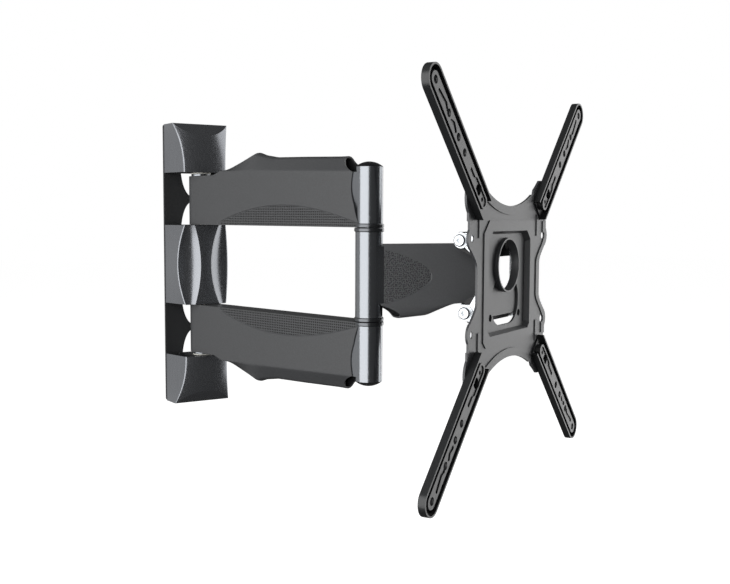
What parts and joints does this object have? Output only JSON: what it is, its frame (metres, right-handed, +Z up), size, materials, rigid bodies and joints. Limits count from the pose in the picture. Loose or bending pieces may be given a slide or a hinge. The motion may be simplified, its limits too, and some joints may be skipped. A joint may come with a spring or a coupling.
{
  "type": "full motion tv wall mount",
  "caption": "Articulating television wall bracket: slim wall plate, paired folding arms on a common column, and a tilting, swivelling head plate with adapter arms.",
  "frame": {"origin": "centre of the wall plate's back face, on the wall", "axes": "-Y out of the wall into the room, +Z up, +X to the right when facing the wall"},
  "size_m": [0.4558, 0.4888, 0.4314],
  "materials": {
    "steel_powder_coat": "satin black powder coat on pressed steel",
    "adapter_steel": "satin black powder coat on pressed steel",
    "column_steel": "dark grey metallic gloss paint on drawn tube",
    "cover_plastic": "moulded ABS with a fine textured surface",
    "cap_plastic": "polished moulded cap",
    "zinc_steel": "bright zinc plating",
    "black_zinc": "black zinc fasteners",
    "bronze": "sintered bronze bush",
    "nylon": "natural nylon washer",
    "collar_plastic": "moulded flanged bush"
  },
  "bodies": {
    "wall_bracket": {"wall_plate": "steel_powder_coat", "upper_hinge_bracket": "steel_powder_coat", "middle_hinge_bracket": "steel_powder_coat", "lower_hinge_bracket": "steel_powder_coat", "upper_pivot_bolt": "zinc_steel", "lower_pivot_bolt": "zinc_steel", "pivot_nuts": "zinc_steel", "pivot_washers": "nylon", "upper_wall_cover": "cover_plastic", "middle_wall_cover": "cover_plastic", "lower_wall_cover": "cover_plastic"},
    "rear_arm": {"upper_rear_arm": "column_steel", "lower_rear_arm": "column_steel", "upper_rear_cover_near": "cover_plastic", "upper_rear_cover_far": "cover_plastic", "lower_rear_cover_near": "cover_plastic", "lower_rear_cover_far": "cover_plastic", "rear_pivot_bushes": "bronze", "column_end_bushes": "collar_plastic", "column_spindle": "zinc_steel", "column_spindle_nut": "zinc_steel", "column_top_cap": "cap_plastic", "column_bottom_cap": "cap_plastic"},
    "front_arm": {"front_arm": "column_steel", "front_cover_near": "cover_plastic", "front_cover_far": "cover_plastic", "middle_column_bushes": "collar_plastic", "swivel_bushes": "bronze"},
    "yoke": {"swivel_yoke": "steel_powder_coat", "swivel_pin": "zinc_steel", "swivel_nut": "zinc_steel", "swivel_washers": "nylon"},
    "head": {"head_plate": "steel_powder_coat", "head_back_plate": "steel_powder_coat", "tilt_ear_right": "zinc_steel", "tilt_ear_left": "zinc_steel", "tilt_clamp_bolts": "zinc_steel", "tilt_pivot_bolts": "zinc_steel", "tilt_washers": "zinc_steel", "tilt_nuts": "zinc_steel", "adapter_pivot_screws": "black_zinc", "adapter_pivot_nuts": "zinc_steel"},
    "adapter_upper_left": {"adapter_arm_upper_left": "adapter_steel"},
    "adapter_upper_right": {"adapter_arm_upper_right": "adapter_steel"},
    "adapter_lower_left": {"adapter_arm_lower_left": "adapter_steel"},
    "adapter_lower_right": {"adapter_arm_lower_right": "adapter_steel"}
  },
  "joints": [
    {"name": "wall_swing", "type": "hinge", "parent": "wall_bracket", "child": "rear_arm", "pos_m": [0, -0.033, 0], "axis": [0, 0, 1], "range_deg": [-99, 71]},
    {"name": "elbow_swing", "type": "hinge", "parent": "rear_arm", "child": "front_arm", "pos_m": [0.07258, -0.32409, 0], "axis": [0, 0, -1], "range_deg": [-80, 155]},
    {"name": "head_swivel", "type": "hinge", "parent": "front_arm", "child": "yoke", "pos_m": [0.20098, -0.34443, 0], "axis": [0, 0, 1], "range_deg": [-6, 114]},
    {"name": "head_tilt", "type": "hinge", "parent": "yoke", "child": "head", "pos_m": [0.2071, -0.35645, -0.042], "axis": [0.891, 0.454, 0], "range_deg": [-3, 10]},
    {"name": "adapter_turn_upper_left", "type": "hinge", "parent": "head", "child": "adapter_upper_left", "pos_m": [0.13498, -0.43451, 0.0907], "axis": [0.454, -0.891, 0], "range_deg": [-30, 30]},
    {"name": "adapter_turn_upper_right", "type": "hinge", "parent": "head", "child": "adapter_upper_right", "pos_m": [0.31265, -0.34398, 0.0907], "axis": [0.454, -0.891, 0], "range_deg": [-30, 30]},
    {"name": "adapter_turn_lower_left", "type": "hinge", "parent": "head", "child": "adapter_lower_left", "pos_m": [0.13498, -0.43451, -0.1087], "axis": [0.454, -0.891, 0], "range_deg": [-30, 30]},
    {"name": "adapter_turn_lower_right", "type": "hinge", "parent": "head", "child": "adapter_lower_right", "pos_m": [0.31265, -0.34398, -0.1087], "axis": [0.454, -0.891, 0], "range_deg": [-30, 30]}
  ]
}
